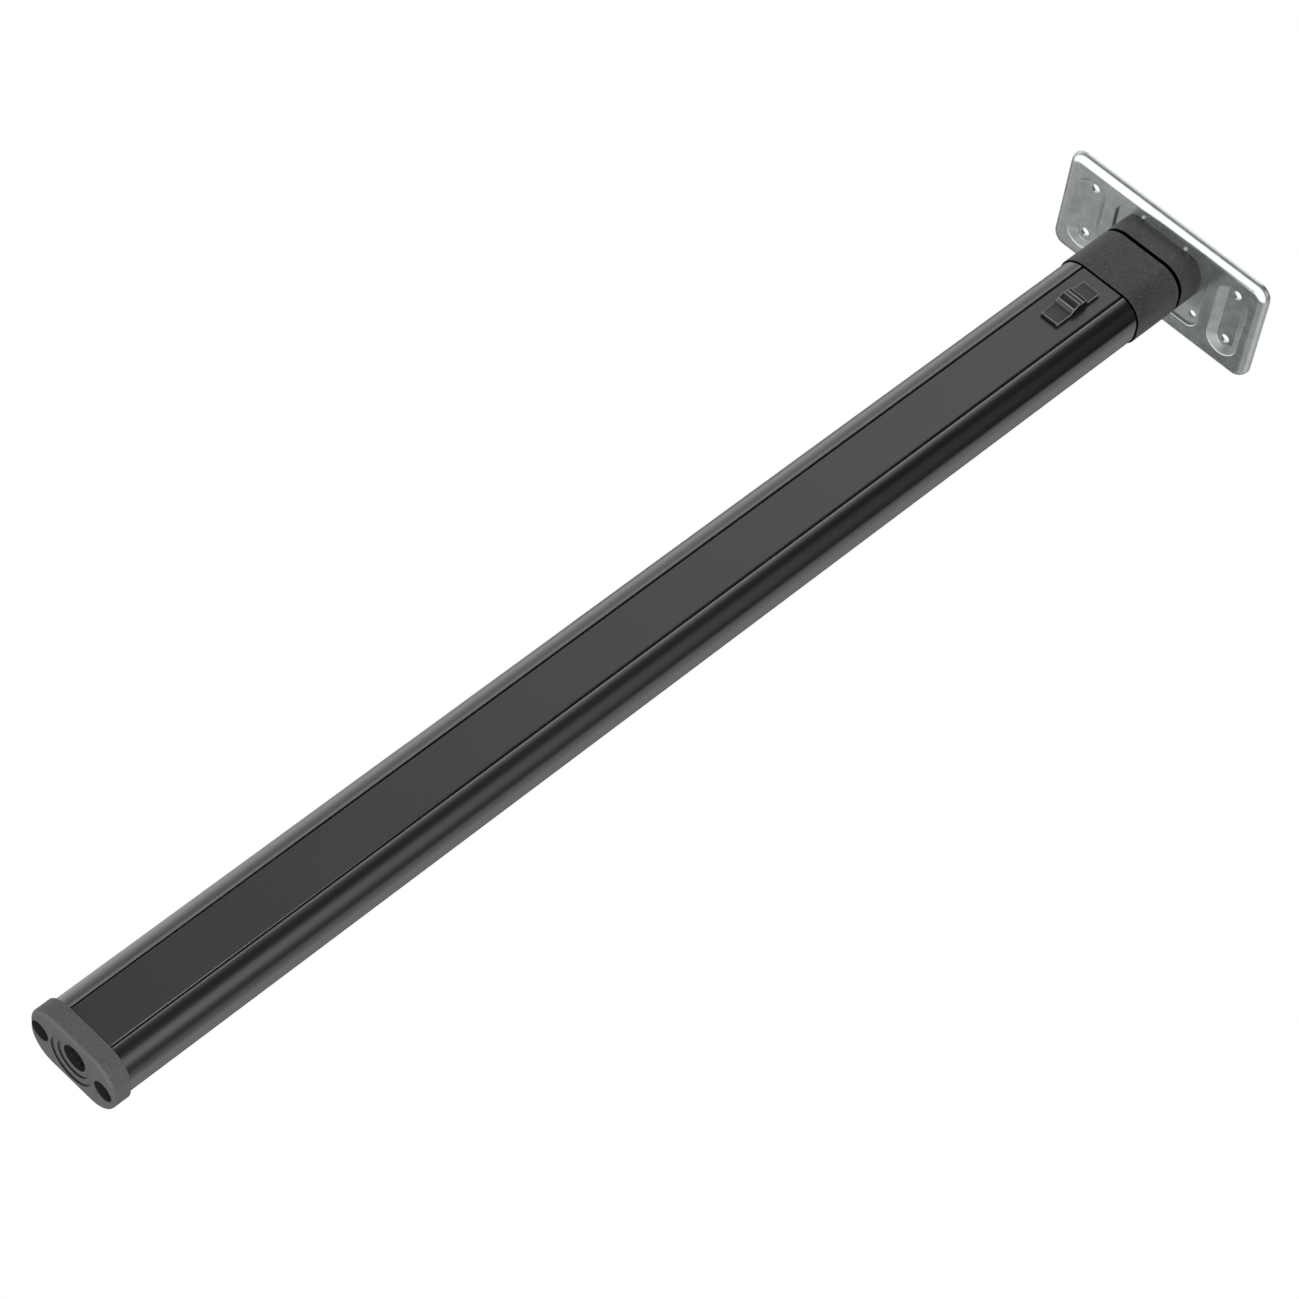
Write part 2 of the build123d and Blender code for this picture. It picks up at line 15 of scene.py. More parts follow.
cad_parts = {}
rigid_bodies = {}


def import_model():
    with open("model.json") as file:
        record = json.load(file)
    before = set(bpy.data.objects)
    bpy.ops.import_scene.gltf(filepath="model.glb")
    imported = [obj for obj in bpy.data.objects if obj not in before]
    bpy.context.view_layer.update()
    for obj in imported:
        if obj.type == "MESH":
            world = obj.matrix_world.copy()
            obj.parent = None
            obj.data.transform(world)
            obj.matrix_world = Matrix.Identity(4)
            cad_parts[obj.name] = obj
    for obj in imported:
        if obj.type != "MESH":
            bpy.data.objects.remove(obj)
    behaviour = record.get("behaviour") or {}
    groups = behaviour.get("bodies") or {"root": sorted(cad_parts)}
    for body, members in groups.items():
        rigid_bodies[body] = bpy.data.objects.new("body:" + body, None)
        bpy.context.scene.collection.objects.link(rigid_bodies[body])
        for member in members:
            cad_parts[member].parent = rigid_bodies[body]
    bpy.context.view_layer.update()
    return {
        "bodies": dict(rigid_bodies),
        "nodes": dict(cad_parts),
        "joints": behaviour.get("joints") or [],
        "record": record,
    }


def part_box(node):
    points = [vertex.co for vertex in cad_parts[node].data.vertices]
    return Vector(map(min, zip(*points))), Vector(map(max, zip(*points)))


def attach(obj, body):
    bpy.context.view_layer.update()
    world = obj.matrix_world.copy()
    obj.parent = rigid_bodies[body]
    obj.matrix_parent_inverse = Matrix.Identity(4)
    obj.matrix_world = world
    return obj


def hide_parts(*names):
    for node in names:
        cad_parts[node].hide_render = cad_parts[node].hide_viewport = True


LOG = logging.getLogger("folding_leg")
MM = 0.001
WELD = 0.01 * MM
SMOOTH_ANGLE = 30.0
FULL_TURN = 360.0
HALF = 0.5
SHADE_RANGE = (0.3, 0.7)
MASK = ("Mask",)
HIGHLIGHT_ATTRIBUTE = "edge_highlight"
Colour = tuple[float, float, float]
Point = tuple[float, float, float]
Span = tuple[float, float]
Sizes = tuple[tuple[str, float], ...]
Levels = tuple[Span, ...]
Socket = bpy.types.NodeSocket


class Body(Enum):
    """Rigid bodies of the leg, by the names that the frame gives them."""

    PLATE = "plate"
    LEG = "leg"
    SLIDE = "slide"


class Slot(Enum):
    """Material slots of the record."""

    ZINC = "zinc_plate"
    STEEL = "steel"
    SCREW = "screw_steel"
    SPRING = "spring_steel"
    NYLON = "nylon"
    GRAINED = "grained_moulding"
    FOOT = "foot_moulding"
    STRIP = "strip_moulding"
    SLIDER = "slider_moulding"
    TUBE = "black_anodised"


class Effect(Enum):
    """Surface effects that the finishes are made with, each a shader node group."""

    GRAIN = "moulded_grain"
    STREAKS = "drawn_streaks"
    MOTTLE = "metal_mottle"
    GAP_SHADE = "dark_gaps"
    LINE = "dark_line_under_collar"
    PRESSED_SHADE = "pressed_walls"
    EDGE_HIGHLIGHT = "rubbed_edges"
    SEAM_HIGHLIGHT = "worn_seam_edges"
    WELL_SHADE = "dark_wells_in_foot"


def grey(value: float, warmth: float = 0.0) -> Colour:
    """Near-neutral colour, a little warmer or, below zero, cooler."""
    return (value * (1 + warmth), value, value * (1 - warmth))


class NodeSheet:
    """Shorthand for placing and joining the nodes of one shader tree."""

    def __init__(self, tree: bpy.types.NodeTree) -> None:
        """Keeps the tree that the nodes go into."""
        self.tree = tree

    def add(self, kind: str, **settings: object) -> bpy.types.Node:
        """Adds a node.

        Args:
            kind: Blender's name of the node type.
            settings: properties of the node, by name.

        Returns:
            The new node.
        """
        node = self.tree.nodes.new(kind)
        for name, value in settings.items():
            setattr(node, name, value)
        return node

    def join(self, source: Socket, target: Socket) -> None:
        """Links an output to an input."""
        self.tree.links.new(source, target)

    def put(self, value: object, target: Socket) -> None:
        """Gives an input its value, or links it to the output that makes it.

        Args:
            value: number, colour or output.
            target: input that takes it.
        """
        if isinstance(value, Socket):
            self.join(value, target)
        else:
            target.default_value = value

    def math(self, operation: str, first: object, second: object = 0.0) -> Socket:
        """Adds a sum on two numbers or outputs.

        Args:
            operation: name of the sum, such as MULTIPLY.
            first: number or output.
            second: number or output.

        Returns:
            The output with the result.
        """
        node = self.add("ShaderNodeMath", operation=operation)
        for socket, value in zip(node.inputs, (first, second)):
            self.put(value, socket)
        return node.outputs[0]

    def length(self, across: Socket, along: Socket) -> Socket:
        """Length of the line that goes so far across and so far along."""
        squares = [self.math("MULTIPLY", side, side) for side in (across, along)]
        return self.math("SQRT", self.math("ADD", *squares))

    def weigh(self, first: Socket, second: Socket, share: float) -> Socket:
        """Sum of the first output by its share and of the second by the rest."""
        rest = self.math("MULTIPLY", second, 1 - share)
        return self.math("ADD", self.math("MULTIPLY", first, share), rest)

    def ramp(self, value: Socket, low: float, high: float, to_low: float = 0.0, to_high: float = 1.0
             ) -> Socket:
        """Maps one range of a value smoothly to another.

        Args:
            value: output to map.
            low: value that becomes to_low.
            high: value that becomes to_high.
            to_low: result at low.
            to_high: result at high.

        Returns:
            The output with the mapped value.
        """
        node = self.add("ShaderNodeMapRange", interpolation_type="SMOOTHSTEP")
        self.join(value, node.inputs["Value"])
        node.inputs["From Min"].default_value = low
        node.inputs["From Max"].default_value = high
        node.inputs["To Min"].default_value = to_low
        node.inputs["To Max"].default_value = to_high
        return node.outputs["Result"]

    def step(self, value: object, level: object, width: object) -> Socket:
        """Soft step from 0 to 1 as a value passes a level.

        Args:
            value: number or output that is tested.
            level: number or output where the step starts.
            width: number or output over which it rises.

        Returns:
            The output with the step.
        """
        return self.ramp(self.math("DIVIDE", self.math("SUBTRACT", value, level), width), 0.0, 1.0)

    def mix(self, kind: str, first: object, second: object, share: Socket) -> Socket:
        """Mixes two values.

        Args:
            kind: Blender's name of the kind of value.
            first: value or output at share 0.
            second: value or output at share 1.
            share: output that says how much of the second is taken.

        Returns:
            The output with the mix.
        """
        node = self.add("ShaderNodeMix", data_type=kind)
        for name, value in (("Factor", share), ("A", first), ("B", second)):
            self.put(value, node.inputs[name])
        return node.outputs["Result"]

    def blend(self, first: object, second: object, share: Socket) -> Socket:
        """Mixes two numbers or outputs."""
        return self.mix("FLOAT", first, second, share)

    def tint(self, first: object, second: object, share: Socket) -> Socket:
        """Mixes two colours or outputs."""
        colours = [value if isinstance(value, Socket) else (*value, 1) for value in (first, second)]
        return self.mix("RGBA", *colours, share)

    def effect(self, group: bpy.types.NodeTree, sizes: Sizes) -> bpy.types.Node:
        """Places an effect with values of its own.

        Args:
            group: node group of the effect.
            sizes: names and values of its inputs.

        Returns:
            The node that holds the group.
        """
        node = self.add("ShaderNodeGroup", node_tree=group)
        for name, value in sizes:
            node.inputs[name].default_value = value
        return node

    def place(self) -> bpy.types.Node:
        """Adds a node that splits the place on the object.

        Returns:
            The node, with outputs X, Y and Z.
        """
        parts = self.add("ShaderNodeSeparateXYZ")
        self.join(self.add("ShaderNodeTexCoord").outputs["Object"], parts.inputs["Vector"])
        return parts

    def noise(self, size: Socket, detail: float, stretch: Point = (1, 1, 1)) -> Socket:
        """Adds noise on object coordinates.

        Args:
            size: output with the size of its features, in metres.
            detail: octaves of finer noise.
            stretch: features in each size along X, Y and Z.

        Returns:
            The output with the noise, about 0.5 on average.
        """
        scaled = self.add("ShaderNodeVectorMath", operation="SCALE")
        self.join(self.add("ShaderNodeTexCoord").outputs["Object"], scaled.inputs["Vector"])
        self.join(self.math("DIVIDE", 1.0, size), scaled.inputs["Scale"])
        mapping = self.add("ShaderNodeMapping")
        mapping.inputs["Scale"].default_value = stretch
        self.join(scaled.outputs["Vector"], mapping.inputs["Vector"])
        noise = self.add("ShaderNodeTexNoise")
        noise.inputs["Scale"].default_value = 1.0
        noise.inputs["Detail"].default_value = detail
        self.join(mapping.outputs["Vector"], noise.inputs["Vector"])
        return noise.outputs["Fac"]


class EffectLibrary:
    """Builds each effect once, for all the finishes that use it."""

    def __init__(self) -> None:
        """Builds every effect's node group."""
        self.groups = {
            Effect.GRAIN: self.build_grain(),
            Effect.STREAKS: self.build_streaks(),
            Effect.MOTTLE: self.build_mottle(),
            Effect.GAP_SHADE: self.build_gap_shade(),
            Effect.LINE: self.build_collar_shadow(),
            Effect.PRESSED_SHADE: self.build_pressed_shade(),
            Effect.EDGE_HIGHLIGHT: self.build_edge_highlights(),
            Effect.SEAM_HIGHLIGHT: self.build_seam_highlights(),
            Effect.WELL_SHADE: self.build_well_shade(),
        }

    @staticmethod
    def start(effect: Effect, inputs: dict[str, float], outputs: tuple[str, ...] = ("Shade", "Height")
              ) -> tuple[bpy.types.NodeTree, NodeSheet, bpy.types.Node]:
        """Starts a group with number inputs and outputs.

        Args:
            effect: effect that names the group.
            inputs: names and default values of the inputs.
            outputs: names of the outputs.

        Returns:
            The group, its node sheet and its input node.
        """
        group = bpy.data.node_groups.new(effect.value, "ShaderNodeTree")
        for name, value in inputs.items():
            socket = group.interface.new_socket(name, in_out="INPUT", socket_type="NodeSocketFloat")
            socket.default_value = value
        for name in outputs:
            group.interface.new_socket(name, in_out="OUTPUT", socket_type="NodeSocketFloat")
        sheet = NodeSheet(group)
        return group, sheet, sheet.add("NodeGroupInput")

    @staticmethod
    def end(sheet: NodeSheet, *results: Socket) -> None:
        """Joins a group's results to its outputs.

        Args:
            sheet: node sheet of the group.
            results: outputs with the results, in order.
        """
        out = sheet.add("NodeGroupOutput")
        for result, socket in zip(results, out.inputs):
            sheet.join(result, socket)

    def build_grain(self) -> bpy.types.NodeTree:
        """Fine spark-eroded grain of a moulded plastic, with faint cloudy patches.

        Returns:
            The node group.
        """
        group, sheet, given = self.start(Effect.GRAIN, {"Grain Size": 0.5 * MM, "Patch Size": 20 * MM})
        fine = sheet.noise(given.outputs["Grain Size"], detail=3.0)
        patch = sheet.noise(given.outputs["Patch Size"], detail=2.0)
        self.end(sheet, sheet.weigh(fine, patch, share=0.65), fine)
        return group

    def build_streaks(self) -> bpy.types.NodeTree:
        """Lines that run along the leg, as drawing through a die leaves them.

        Returns:
            The node group.
        """
        group, sheet, given = self.start(Effect.STREAKS, {"Line Width": 0.6 * MM})
        width = given.outputs["Line Width"]
        lines = sheet.noise(width, detail=3.0, stretch=(1, 1, 0.004))
        broad = sheet.noise(width, detail=2.0, stretch=(0.12, 0.12, 0.002))
        self.end(sheet, sheet.weigh(lines, broad, share=0.5), lines)
        return group

    def build_mottle(self) -> bpy.types.NodeTree:
        """Cloudy patches and fine pits of a plated sheet.

        Returns:
            The node group.
        """
        group, sheet, given = self.start(Effect.MOTTLE, {"Patch Size": 9 * MM, "Pit Size": 0.6 * MM})
        patch = sheet.noise(given.outputs["Patch Size"], detail=4.0)
        pits = sheet.noise(given.outputs["Pit Size"], detail=2.0)
        self.end(sheet, sheet.weigh(patch, pits, share=0.75), pits)
        return group

    def build_gap_shade(self) -> bpy.types.NodeTree:
        """Mask of the painted shade: what lies inside the collar's outline, in the hinge gap and at its
        lower edge.

        Returns:
            The node group.
        """
        inputs = {"Half Width": 25.5 * MM, "Half Depth": 15.75 * MM, "Corner": 13.25 * MM,
                  "Centre Y": -7 * MM, "Lip": 0.2 * MM, "Gap Level": -18.5 * MM,
                  "Edge Level": -48.8 * MM}
        group, sheet, given = self.start(Effect.GAP_SHADE, inputs, MASK)
        take = given.outputs
        place = sheet.place()
        off_y = sheet.math("SUBTRACT", place.outputs["Y"], take["Centre Y"])
        past = []
        for value, half in ((place.outputs["X"], "Half Width"), (off_y, "Half Depth")):
            straight = sheet.math("SUBTRACT", take[half], take["Corner"])
            over = sheet.math("SUBTRACT", sheet.math("ABSOLUTE", value), straight)
            past.append(sheet.math("MAXIMUM", over, 0.0))
        inset = sheet.math("SUBTRACT", take["Corner"], sheet.length(*past))
        inside = sheet.math("GREATER_THAN", inset, take["Lip"])
        in_gap = sheet.math("GREATER_THAN", place.outputs["Z"], take["Gap Level"])
        in_skirt = sheet.math("LESS_THAN", place.outputs["Z"], take["Edge Level"])
        self.end(sheet, sheet.math("MULTIPLY", inside, sheet.math("MAXIMUM", in_gap, in_skirt)))
        return group

    def build_collar_shadow(self) -> bpy.types.NodeTree:
        """Mask of the painted shadow: a thin dark line where the leg runs under its collar.

        Returns:
            The node group.
        """
        inputs = {"Level": -51.3 * MM, "Blend": 0.4 * MM}
        group, sheet, given = self.start(Effect.LINE, inputs, MASK)
        take = given.outputs
        self.end(sheet, sheet.step(sheet.place().outputs["Z"], take["Level"], take["Blend"]))
        return group

    def build_pressed_shade(self) -> bpy.types.NodeTree:
        """Mask of the painted shade on the rear walls of the pressed recesses and on the pressed nibs.

        Returns:
            The node group.
        """
        inputs = {"Face": -5 * MM, "Floor": -1.6 * MM, "Rear": 4 * MM, "Side": 57 * MM,
                  "Blend": 0.2 * MM, "Fade": 12 * MM}
        group, sheet, given = self.start(Effect.PRESSED_SHADE, inputs, MASK)
        take = given.outputs
        place = sheet.place()
        depth = place.outputs["Z"]
        wall = sheet.math("MULTIPLY", sheet.step(depth, take["Face"], take["Blend"]),
                          sheet.step(take["Floor"], depth, take["Blend"]))
        within = sheet.math("LESS_THAN", sheet.math("ABSOLUTE", place.outputs["X"]), take["Side"])
        rear = sheet.math("MULTIPLY", sheet.step(place.outputs["Y"], take["Rear"], take["Fade"]), within)
        nib = sheet.step(take["Face"], depth, take["Blend"])
        self.end(sheet, sheet.math("MAXIMUM", sheet.math("MULTIPLY", wall, rear), nib))
        return group

    def build_seam_highlights(self) -> bpy.types.NodeTree:
        """Mask of the painted highlights on the edges along the seams, which grow lighter towards the
        foot.

        Returns:
            The node group.
        """
        inputs = {"Inner": 12 * MM, "Outer": 12.5 * MM, "Front": -21.3 * MM, "Start": -0.2,
                  "Length": 0.4}
        group, sheet, given = self.start(Effect.SEAM_HIGHLIGHT, inputs, MASK)
        take = given.outputs
        place = sheet.place()
        side = sheet.math("ABSOLUTE", place.outputs["X"])
        edge = sheet.math("MULTIPLY", sheet.math("GREATER_THAN", side, take["Inner"]),
                          sheet.math("LESS_THAN", side, take["Outer"]))
        front = sheet.math("LESS_THAN", place.outputs["Y"], take["Front"])
        fade = sheet.step(take["Start"], place.outputs["Z"], take["Length"])
        self.end(sheet, sheet.math("MULTIPLY", sheet.math("MULTIPLY", edge, front), fade))
        return group

    def build_well_shade(self) -> bpy.types.NodeTree:
        """Mask of the painted shade on the sunk walls in the end of the foot: its pockets, ring steps
        and socket.

        Returns:
            The node group.
        """
        inputs = {"End": -0.7, "Step": 1 * MM, "Wall Share": 0.42, "Mouth": 0.4 * MM,
                  "Socket Depth": 2.4 * MM, "Centre Y": -7 * MM, "Ring Reach": 13 * MM,
                  "Pocket X": 19.8 * MM, "Pocket Reach": 5.7 * MM}
        group, sheet, given = self.start(Effect.WELL_SHADE, inputs, MASK)
        take = given.outputs
        place = sheet.place()
        side = sheet.math("ABSOLUTE", place.outputs["X"])
        off_y = sheet.math("SUBTRACT", place.outputs["Y"], take["Centre Y"])
        depth = sheet.math("SUBTRACT", place.outputs["Z"], take["End"])
        part = sheet.math("FRACT", sheet.math("DIVIDE", depth, take["Step"]))
        off_middle = sheet.math("ABSOLUTE", sheet.math("SUBTRACT", part, HALF))
        wall = sheet.math("LESS_THAN", off_middle, take["Wall Share"])
        deep = sheet.math("GREATER_THAN", depth, take["Socket Depth"])
        ring = sheet.math("LESS_THAN", sheet.length(side, off_y), take["Ring Reach"])
        off_x = sheet.math("SUBTRACT", side, take["Pocket X"])
        pocket = sheet.math("LESS_THAN", sheet.length(off_x, off_y), take["Pocket Reach"])
        stepped = sheet.math("MULTIPLY", ring, sheet.math("MAXIMUM", wall, deep))
        bored = sheet.math("MULTIPLY", pocket, sheet.math("GREATER_THAN", depth, take["Mouth"]))
        self.end(sheet, sheet.math("MAXIMUM", stepped, bored))
        return group

    def build_edge_highlights(self) -> bpy.types.NodeTree:
        """Mask of the edges that a piece's own attribute marks for a painted highlight.

        Returns:
            The node group.
        """
        group, sheet, _ = self.start(Effect.EDGE_HIGHLIGHT, {}, MASK)
        self.end(sheet, sheet.add("ShaderNodeAttribute", attribute_name=HIGHLIGHT_ATTRIBUTE).outputs["Fac"])
        return group


@dataclass(frozen=True)
class Mark:
    """Places on a finish with a colour and a gloss of their own."""

    effect: Effect
    colour: Colour
    roughness: float
    sizes: Sizes = ()
    metallic: float | None = None


@dataclass(frozen=True)
class Finish:
    """One finish: a Principled shader whose colour, gloss and bump vary by an effect."""

    name: str
    colour: Colour
    roughness: float
    effect: Effect
    sizes: Sizes
    contrast: float = 0.2
    gloss_spread: float = 0.06
    bump: float = 0.1
    bump_depth: float = 0.05 * MM
    metallic: float = 0.0
    specular: float = 0.5
    marks: tuple[Mark, ...] = ()

    def make(self, effects: EffectLibrary) -> bpy.types.Material:
        """Makes the material.

        Args:
            effects: library that holds the effects.

        Returns:
            The new material.
        """
        material = bpy.data.materials.new(self.name)
        material.use_nodes = True
        sheet = NodeSheet(material.node_tree)
        shader = material.node_tree.nodes["Principled BSDF"]
        metal = shader.inputs["Metallic"]
        metal.default_value = self.metallic
        shader.inputs["Specular IOR Level"].default_value = self.specular
        group = sheet.effect(effects.groups[self.effect], self.sizes)
        low, high = 1 - self.contrast, 1 + self.contrast
        share = sheet.ramp(group.outputs["Shade"], *SHADE_RANGE)
        colour = sheet.tint([low * c for c in self.colour], [high * c for c in self.colour], share)
        gloss = sheet.ramp(group.outputs["Shade"], *SHADE_RANGE, self.roughness - self.gloss_spread,
                           self.roughness + self.gloss_spread)
        for mark in self.marks:
            mask = sheet.effect(effects.groups[mark.effect], mark.sizes).outputs["Mask"]
            colour = sheet.tint(colour, mark.colour, mask)
            gloss = sheet.blend(gloss, mark.roughness, mask)
            if mark.metallic is not None:
                sheet.join(sheet.blend(self.metallic, mark.metallic, mask), metal)
        sheet.join(colour, shader.inputs["Base Color"])
        sheet.join(gloss, shader.inputs["Roughness"])
        bump = sheet.add("ShaderNodeBump")
        bump.inputs["Strength"].default_value = self.bump
        bump.inputs["Distance"].default_value = self.bump_depth
        sheet.join(group.outputs["Height"], bump.inputs["Height"])
        sheet.join(bump.outputs["Normal"], shader.inputs["Normal"])
        return material


# Painted shade: black metal mirrors almost nothing, so the painted gaps, the wells and the line under
# the collar stay dark from every side.
COLLAR_SHADOW_LINE = Mark(Effect.LINE, grey(0.001), 0.7, metallic=1.0)
# Painted shade in the hinge gap and under the collar's skirt, on the head and the collar.
HINGE_GAP_SHADE = Mark(Effect.GAP_SHADE, grey(0.0005), 0.9, metallic=1.0)
# Painted shade on the walls of the foot's pockets, ring steps and socket.
FOOT_WELL_SHADE = Mark(Effect.WELL_SHADE, grey(0.014), 0.8, metallic=0.5)
# Painted shade: the rear walls of the recesses and the nibs are darker and rougher, so they mirror less.
PRESSED_WALL_SHADE = Mark(Effect.PRESSED_SHADE, (0.27, 0.28, 0.28), 0.6)
# Painted highlight on the slider's rounded edges.
SLIDER_EDGE_HIGHLIGHT = Mark(Effect.EDGE_HIGHLIGHT, grey(0.16, 0.01), 0.35)
# Painted highlights along the seams: on the strip's edges towards the foot, and on the tube beside the
# seams along the whole leg.
STRIP_EDGE_HIGHLIGHT = Mark(Effect.SEAM_HIGHLIGHT, grey(0.13, 0.01), 0.35, (
    ("Inner", 12.1 * MM), ("Outer", 12.5 * MM), ("Start", -0.45), ("Length", 0.22)))
TUBE_EDGE_HIGHLIGHT = Mark(Effect.SEAM_HIGHLIGHT, grey(0.06, 0.01), 0.25, (
    ("Inner", 13.2 * MM), ("Outer", 14.4 * MM), ("Start", 0.4), ("Length", 0.4)))
FINISHES: dict[Slot, Finish] = {
    Slot.ZINC: Finish("zinc_plated_sheet", (0.42, 0.443, 0.447), 0.25, Effect.MOTTLE,
                      (("Patch Size", 8 * MM), ("Pit Size", 0.5 * MM)), contrast=0.08, gloss_spread=0.03,
                      bump=0.012, metallic=0.85, marks=(PRESSED_WALL_SHADE,)),
    Slot.STEEL: Finish("bright_steel", grey(0.5), 0.28, Effect.MOTTLE,
                       (("Patch Size", 4 * MM), ("Pit Size", 0.3 * MM)), contrast=0.1, metallic=1.0),
    Slot.SCREW: Finish("dark_zinc_screw", grey(0.3), 0.34, Effect.MOTTLE,
                       (("Patch Size", 2 * MM), ("Pit Size", 0.3 * MM)), contrast=0.15, metallic=1.0),
    Slot.SPRING: Finish("spring_steel", grey(0.35, -0.06), 0.25, Effect.STREAKS,
                        (("Line Width", 0.4 * MM),), contrast=0.15, metallic=1.0),
    Slot.NYLON: Finish("natural_nylon", grey(0.7, 0.03), 0.45, Effect.GRAIN,
                       (("Grain Size", 0.8 * MM), ("Patch Size", 10 * MM)), contrast=0.04),
    Slot.GRAINED: Finish("grained_charcoal", grey(0.0295, -0.01), 0.6, Effect.GRAIN,
                         (("Grain Size", 1.1 * MM), ("Patch Size", 60 * MM)), contrast=0.65, bump=0.4,
                         specular=0.45, marks=(HINGE_GAP_SHADE,)),
    Slot.FOOT: Finish("grained_foot", grey(0.062, -0.008), 0.62, Effect.GRAIN,
                      (("Grain Size", 0.9 * MM), ("Patch Size", 60 * MM)), contrast=0.3, bump=0.3,
                      specular=0.45, marks=(FOOT_WELL_SHADE,)),
    Slot.STRIP: Finish("satin_strip", grey(0.012, 0.03), 0.33, Effect.GRAIN,
                       (("Grain Size", 1.1 * MM), ("Patch Size", 50 * MM)), contrast=0.5, bump=0.2,
                       marks=(COLLAR_SHADOW_LINE, STRIP_EDGE_HIGHLIGHT)),
    Slot.SLIDER: Finish("semi_gloss_black", grey(0.006, 0.02), 0.3, Effect.GRAIN,
                        (("Grain Size", 1.0 * MM), ("Patch Size", 6 * MM)), contrast=0.4, bump=0.12,
                        specular=0.36, marks=(SLIDER_EDGE_HIGHLIGHT,)),
    Slot.TUBE: Finish("black_anodised", grey(0.005, 0.03), 0.2, Effect.STREAKS,
                      (("Line Width", 0.7 * MM),), contrast=0.35, gloss_spread=0.04, bump=0.04,
                      specular=1.0, marks=(COLLAR_SHADOW_LINE, TUBE_EDGE_HIGHLIGHT)),
}


def choose_only(piece: bpy.types.Object) -> None:
    """Selects one object and makes it the active one.

    Args:
        piece: object to select.
    """
    bpy.ops.object.select_all(action="DESELECT")
    piece.select_set(True)
    bpy.context.view_layer.objects.active = piece


def add_box(name: str, low: Point | Vector, high: Point | Vector) -> bpy.types.Object:
    """Adds a box between two corners, with its place in its mesh.

    Args:
        name: name of the new object.
        low: lowest corner, in metres.
        high: highest corner, in metres.

    Returns:
        The new object.
    """
    bpy.ops.object.select_all(action="DESELECT")
    start, end = Vector(low), Vector(high)
    bpy.ops.mesh.primitive_cube_add(size=1, location=(start + end) / 2, scale=end - start)
    box = bpy.context.object
    box.name = name
    bpy.ops.object.transform_apply(location=True, rotation=True, scale=True)
    return box


def apply_modifier(piece: bpy.types.Object, kind: str, **settings: object) -> None:
    """Adds a modifier to a piece and applies it.

    Args:
        piece: object to change.
        kind: Blender's name of the modifier type.
        settings: properties of the modifier, by name.
    """
    modifier = piece.modifiers.new(kind.lower(), kind)
    for name, value in settings.items():
        setattr(modifier, name, value)
    choose_only(piece)
    bpy.ops.object.modifier_apply(modifier=modifier.name)


class Bench:
    """Edit-mode work on one piece, from entering the with block to leaving it."""

    def __init__(self, piece: bpy.types.Object) -> None:
        """Keeps the piece that is worked on."""
        self.piece = piece

    def __enter__(self) -> Bench:
        """Opens the piece in edit mode.

        Returns:
            The bench itself.
        """
        choose_only(self.piece)
        bpy.ops.object.mode_set(mode="EDIT")
        return self

    def __exit__(self, *_: object) -> None:
        """Closes edit mode."""
        bpy.ops.object.mode_set(mode="OBJECT")

    def pick_points(self, wanted: Callable[[Vector], bool]) -> None:
        """Selects points by their place.

        Args:
            wanted: test of a point's place.
        """
        bpy.ops.mesh.select_mode(type="VERT")
        bpy.ops.mesh.select_all(action="DESELECT")
        mesh = bmesh.from_edit_mesh(self.piece.data)
        for point in mesh.verts:
            point.select_set(wanted(point.co))
        mesh.select_flush(True)
        bmesh.update_edit_mesh(self.piece.data)

    def pick_faces(self, wanted: Callable[[Vector, Vector], bool]) -> None:
        """Selects faces by their middle and the way they face.

        Args:
            wanted: test of a face's middle and normal.
        """
        bpy.ops.mesh.select_mode(type="FACE")
        bpy.ops.mesh.select_all(action="DESELECT")
        mesh = bmesh.from_edit_mesh(self.piece.data)
        for face in mesh.faces:
            face.select_set(wanted(face.calc_center_median(), face.normal))
        bmesh.update_edit_mesh(self.piece.data)

    def cut_level(self, level: float) -> None:
        """Cuts all faces where they cross a height."""
        bpy.ops.mesh.select_all(action="SELECT")
        bpy.ops.mesh.bisect(plane_co=(0, 0, level), plane_no=(0, 0, 1))

    def shift(self, step: Point) -> None:
        """Moves what is selected."""
        bpy.ops.transform.translate(value=step)

    def merge(self) -> None:
        """Joins points that lie on each other."""
        bpy.ops.mesh.select_all(action="SELECT")
        bpy.ops.mesh.remove_doubles(threshold=WELD)


@dataclass
class SubAssembly:
    """Pieces of the leg that are built and dressed together."""

    frame: dict
    materials: dict[Slot, bpy.types.Material]
    body: Body
    nodes: tuple[str, ...] = ()

    def build(self) -> None:
        """Models the pieces that stand for solids; a plain group has none."""

    def dress(self) -> None:
        """Gives each solid of the group the material of its slot."""
        for node in self.nodes:
            mesh = self.frame["nodes"][node].data
            mesh.materials.clear()
            mesh.materials.append(self.materials[self.slot_of(node)])
            LOG.info("dressed %s", node)

    def slot_of(self, node: str) -> Slot:
        """Material slot that the record gives a node."""
        rows = self.frame["record"]["subparts"]
        return next(Slot(row["material_slot"]) for row in rows if row["node"] == node)

    def stand_for(self, piece: bpy.types.Object, node: str) -> None:
        """Puts a modelled piece in the place of a node.

        Args:
            piece: finished piece.
            node: name of the node that it replaces.
        """
        slot = self.slot_of(node)
        piece.data.materials.clear()
        piece.data.materials.append(self.materials[slot])
        choose_only(piece)
        bpy.ops.object.shade_smooth_by_angle(angle=math.radians(SMOOTH_ANGLE))
        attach(piece, self.body.value)
        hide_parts(node)
        LOG.info("modelled %s for %s", piece.name, node)


